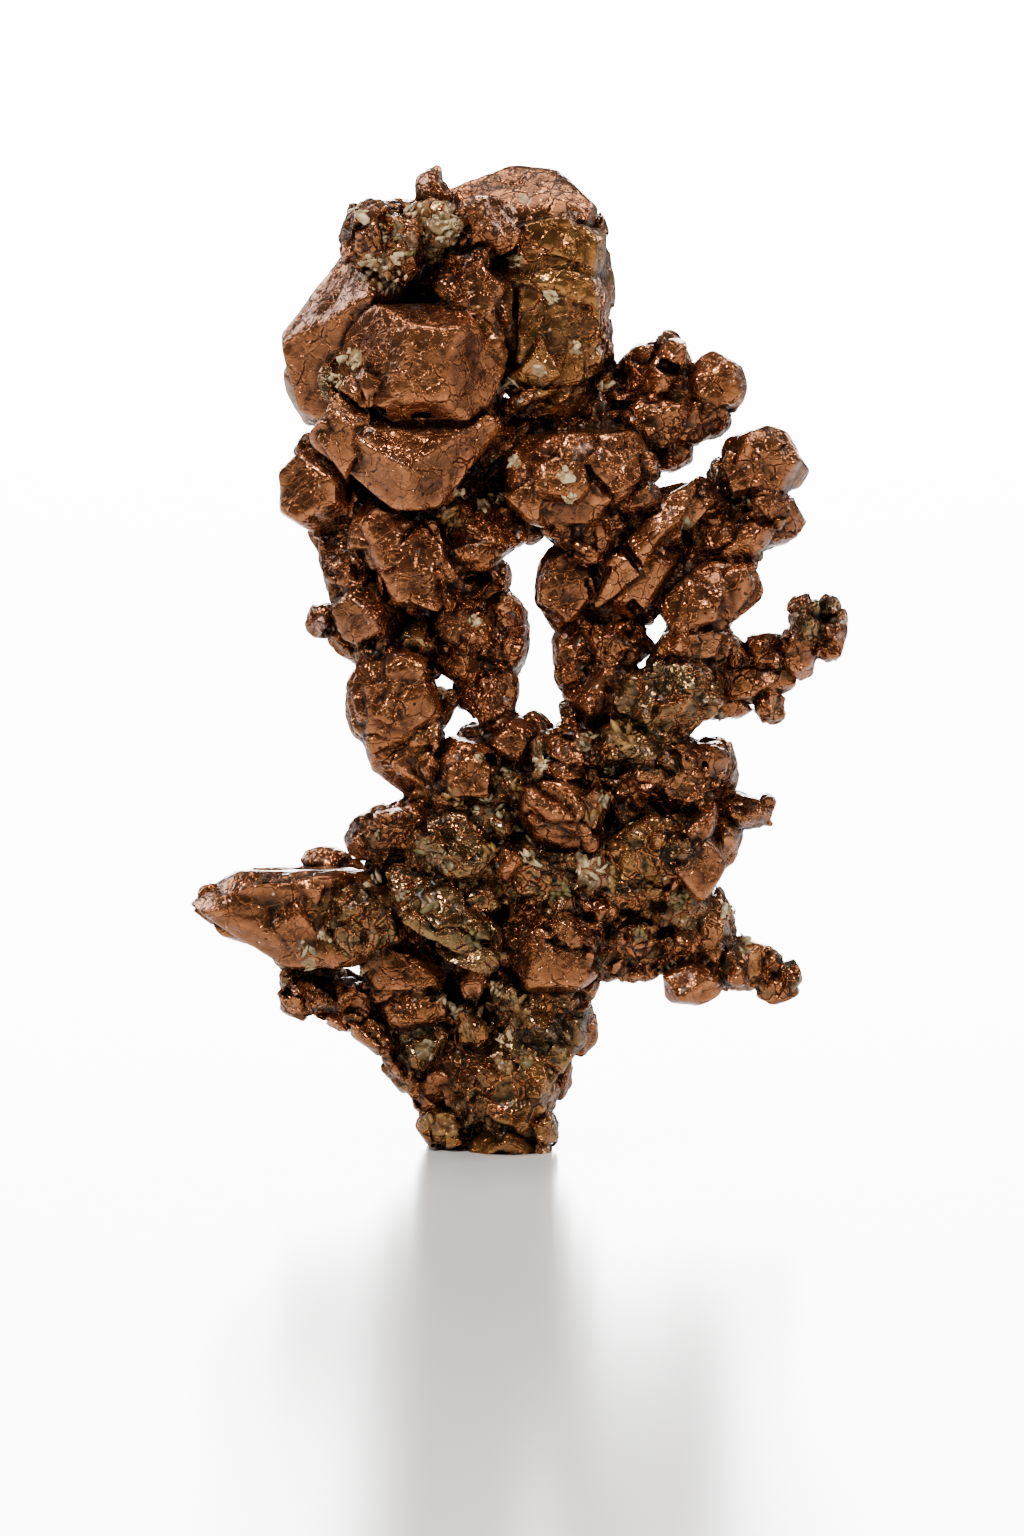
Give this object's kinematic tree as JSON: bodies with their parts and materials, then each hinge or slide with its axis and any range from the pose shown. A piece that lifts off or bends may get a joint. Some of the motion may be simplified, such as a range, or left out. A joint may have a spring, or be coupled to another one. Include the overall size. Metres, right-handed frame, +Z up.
{
  "type": "native copper nugget",
  "caption": "Branching cluster of rounded native copper crystals, heavy at the top, standing on the broken foot of its stem.",
  "frame": {"origin": "on the flat foot of the stem, at the surface it stands on", "axes": "+Z up along the nugget's height, -Y out of its front, +X to its right seen from the front"},
  "size_m": [0.0652, 0.0309, 0.0984],
  "materials": {
    "native_copper": "brown-tarnished native copper, satin, with specks of pale mineral crust"
  },
  "bodies": {
    "root": {"head": "native_copper", "upper_branch": "native_copper", "right_arm": "native_copper", "middle_arm": "native_copper", "side_twig": "native_copper", "right_shelf": "native_copper", "core": "native_copper", "right_spur": "native_copper", "stem": "native_copper", "left_fin": "native_copper", "left_spur": "native_copper", "left_column": "native_copper", "inner_column": "native_copper"}
  },
  "joints": []
}
